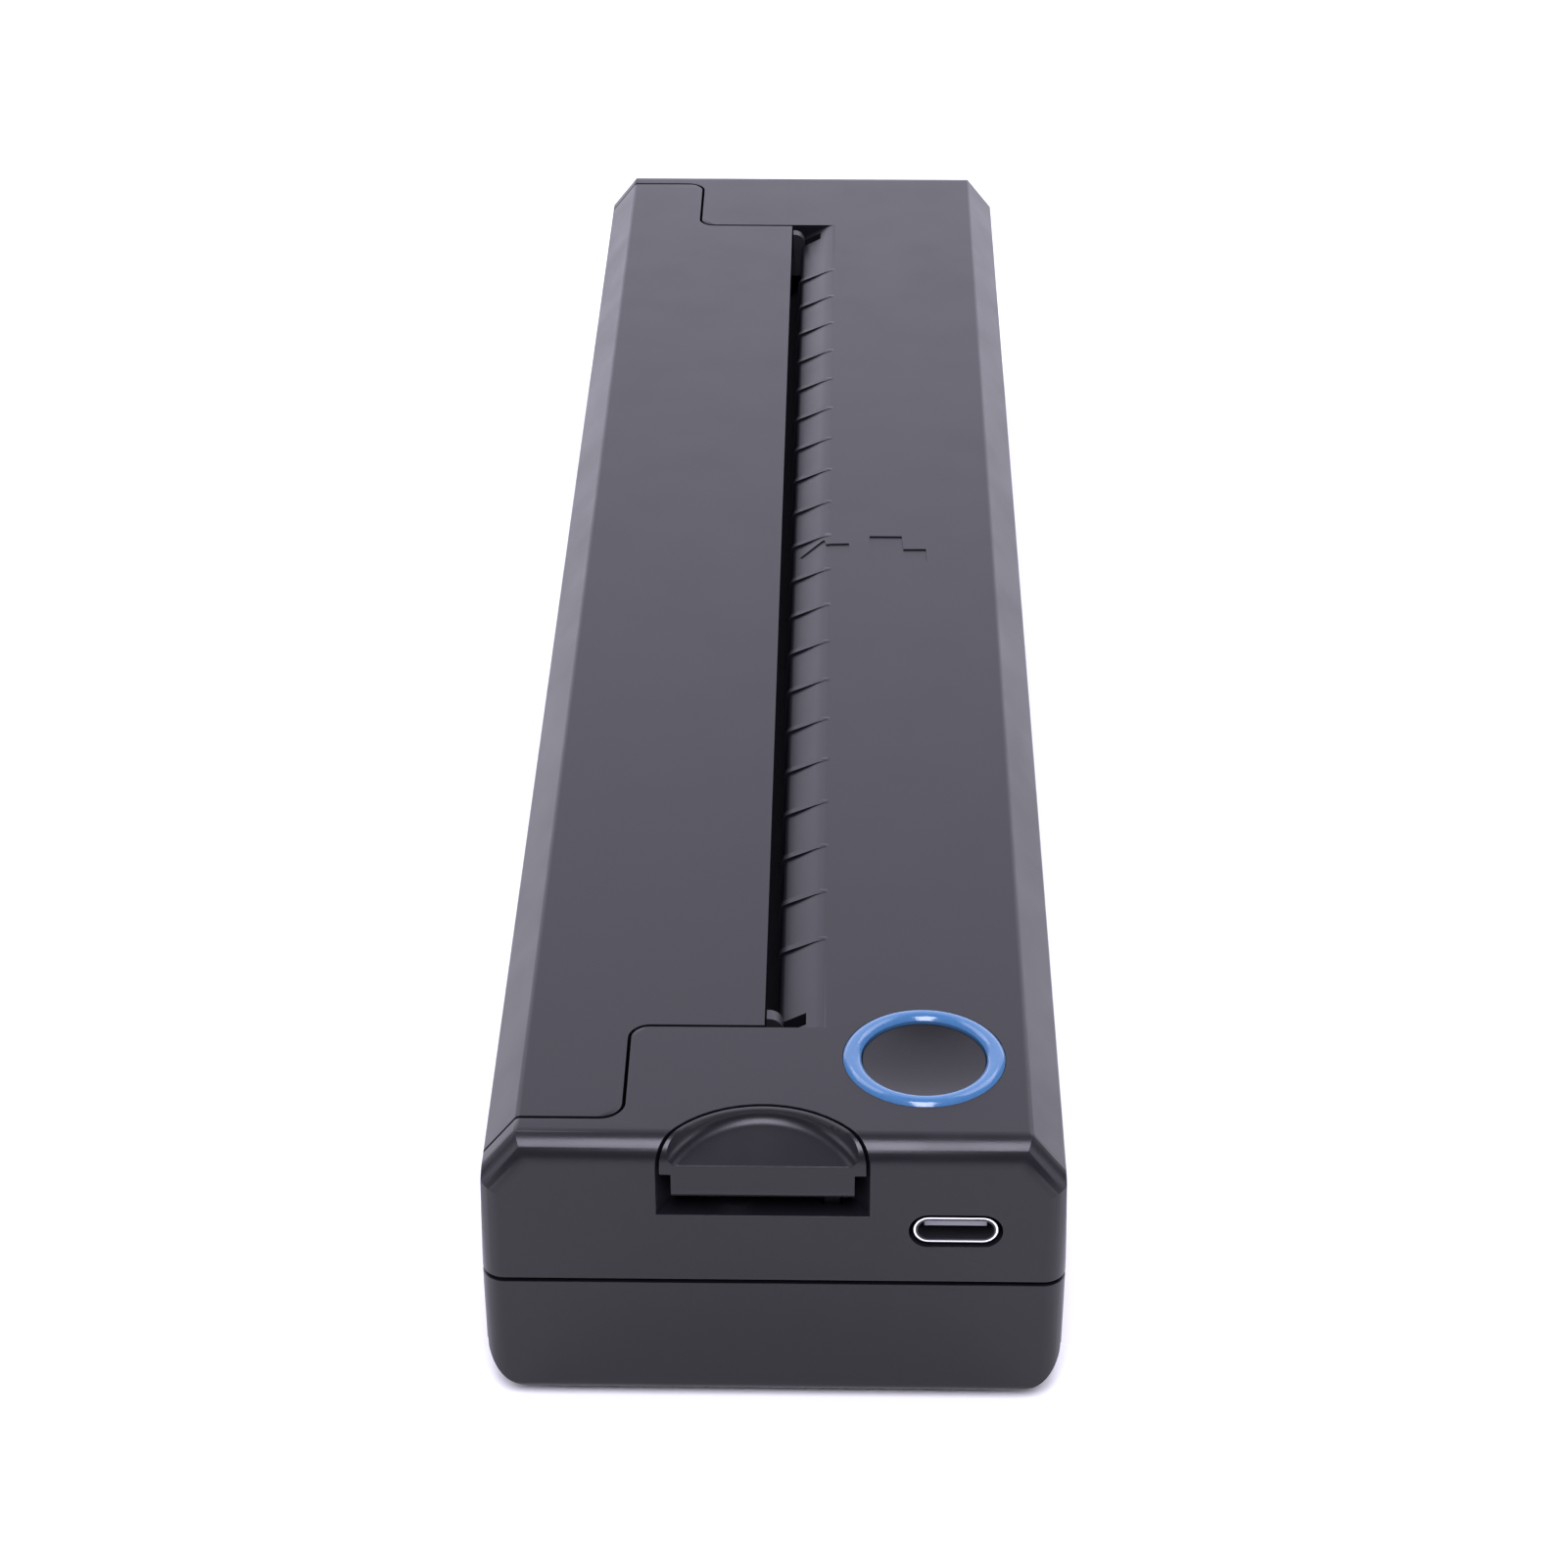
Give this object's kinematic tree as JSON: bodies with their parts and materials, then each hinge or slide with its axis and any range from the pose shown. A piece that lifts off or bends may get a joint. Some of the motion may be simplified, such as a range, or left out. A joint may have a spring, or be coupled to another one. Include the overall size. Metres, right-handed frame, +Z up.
{
  "type": "portable thermal printer",
  "caption": "Slim long-case portable page printer with a hinged top cover, ribbed paper slot, lit round power button, front release tab and a charging port.",
  "frame": {"origin": "middle of the case, on the plane that the rubber feet stand on", "axes": "+Y along the case from the port end to the far end, +Z up, +X from the hinged cover towards the power button side"},
  "size_m": [0.0624, 0.259, 0.0349],
  "materials": {
    "shell_plastic": "fine satin texture, charcoal",
    "inner_plastic": "moulded, dark grey",
    "frame_plastic": "glass-filled moulding, dark grey",
    "foot_rubber": "matt",
    "roller_rubber": "ground smooth",
    "steel": "bright zinc",
    "spring_steel": "drawn wire",
    "motor_steel": "plated can",
    "port_steel": "polished nickel",
    "contact_steel": "nickel strip",
    "nylon": "natural nylon",
    "brass": "machined",
    "ceramic": "glazed ceramic, off-white",
    "aluminium": "extruded",
    "light_ring": "translucent blue, glossy",
    "button_plastic": "dark satin",
    "switch_cream": "moulded",
    "black_resin": "black resin",
    "port_black": "black",
    "circuit_board": "green solder mask",
    "cell_wrap": "shrink wrap"
  },
  "bodies": {
    "base": {"bottom_shell": "shell_plastic", "upper_shell": "shell_plastic", "rubber_feet": "foot_rubber", "case_screws": "steel", "hinge_pins": "steel", "mech_frame": "frame_plastic", "frame_screws": "steel", "paper_guide": "inner_plastic", "paper_sensor": "black_resin", "head_springs": "spring_steel", "head_pivots": "steel", "idler_studs": "steel", "motor_can": "motor_steel", "motor_screws": "steel", "tab_spring": "spring_steel", "latch_spring": "spring_steel", "light_ring": "light_ring", "switch_body": "black_resin", "usb_shell": "port_steel", "usb_tongue": "port_black", "io_board": "circuit_board", "main_board": "circuit_board", "board_parts": "black_resin", "battery_cells": "cell_wrap", "battery_contacts": "contact_steel"},
    "cover": {"cover": "shell_plastic", "cover_liner": "inner_plastic", "liner_screws": "steel", "tear_bar": "steel", "platen_bushings": "nylon"},
    "platen": {"platen_core": "steel", "platen_rubber": "roller_rubber", "platen_gear": "nylon"},
    "print_head": {"head_board": "ceramic", "chip_cover": "black_resin", "heat_sink": "aluminium"},
    "idler_1": {"idler_gear_1": "nylon"},
    "idler_2": {"idler_gear_2": "nylon"},
    "motor_rotor": {"motor_shaft": "steel", "motor_pinion": "brass"},
    "release_tab": {"release_tab": "shell_plastic"},
    "latch": {"latch_bar": "inner_plastic"},
    "power_button": {"power_cap": "button_plastic", "switch_plunger": "switch_cream"}
  },
  "joints": [
    {"name": "cover_hinge", "type": "hinge", "parent": "base", "child": "cover", "pos_m": [-0.02825, 0, 0.01955], "axis": [0, -1, 0], "range_deg": [0, 95]},
    {"name": "platen_spin", "type": "hinge", "parent": "cover", "child": "platen", "pos_m": [-0.022, 0, 0.0248], "axis": [0, 1, 0], "continuous": true},
    {"name": "idler_1_spin", "type": "hinge", "parent": "base", "child": "idler_1", "pos_m": [-0.02051, 0, 0.01692], "axis": [0, 1, 0], "continuous": true},
    {"name": "idler_2_spin", "type": "hinge", "parent": "base", "child": "idler_2", "pos_m": [-0.01323, 0, 0.0116], "axis": [0, 1, 0], "continuous": true},
    {"name": "motor_spin", "type": "hinge", "parent": "base", "child": "motor_rotor", "pos_m": [-0.00537, 0, 0.01], "axis": [0, 1, 0], "continuous": true},
    {"name": "head_tilt", "type": "hinge", "parent": "base", "child": "print_head", "pos_m": [-0.0146, 0, 0.0175], "axis": [0, -1, 0], "range_deg": [0, 1.5], "stiffness_Nm_per_rad": 0.22, "springref_deg": -8.59, "deforming": ["head_springs"]},
    {"name": "tab_press", "type": "slide", "parent": "base", "child": "release_tab", "axis": [0, 0, -1], "range_m": [0, 0.0016], "stiffness_N_per_m": 250, "springref_m": -0.0012, "deforming": ["tab_spring"]},
    {"name": "latch_turn", "type": "hinge", "parent": "base", "child": "latch", "pos_m": [0.0015, 0, 0.0188], "axis": [0, 1, 0], "range_deg": [0, 19.6], "stiffness_Nm_per_rad": 0.01, "springref_deg": -6.88, "deforming": ["latch_spring"]},
    {"name": "power_press", "type": "slide", "parent": "base", "child": "power_button", "axis": [0, 0, -1], "range_m": [0, 0.0005], "stiffness_N_per_m": 1500, "springref_m": -0.0004}
  ],
  "couplings": [
    {"joint": "idler_1_spin", "follows": "platen_spin", "ratio": -1},
    {"joint": "idler_2_spin", "follows": "platen_spin", "ratio": 2},
    {"joint": "motor_spin", "follows": "platen_spin", "ratio": -3.3333},
    {"joint": "latch_turn", "follows": "tab_press", "rad_per_m": 212.77}
  ]
}
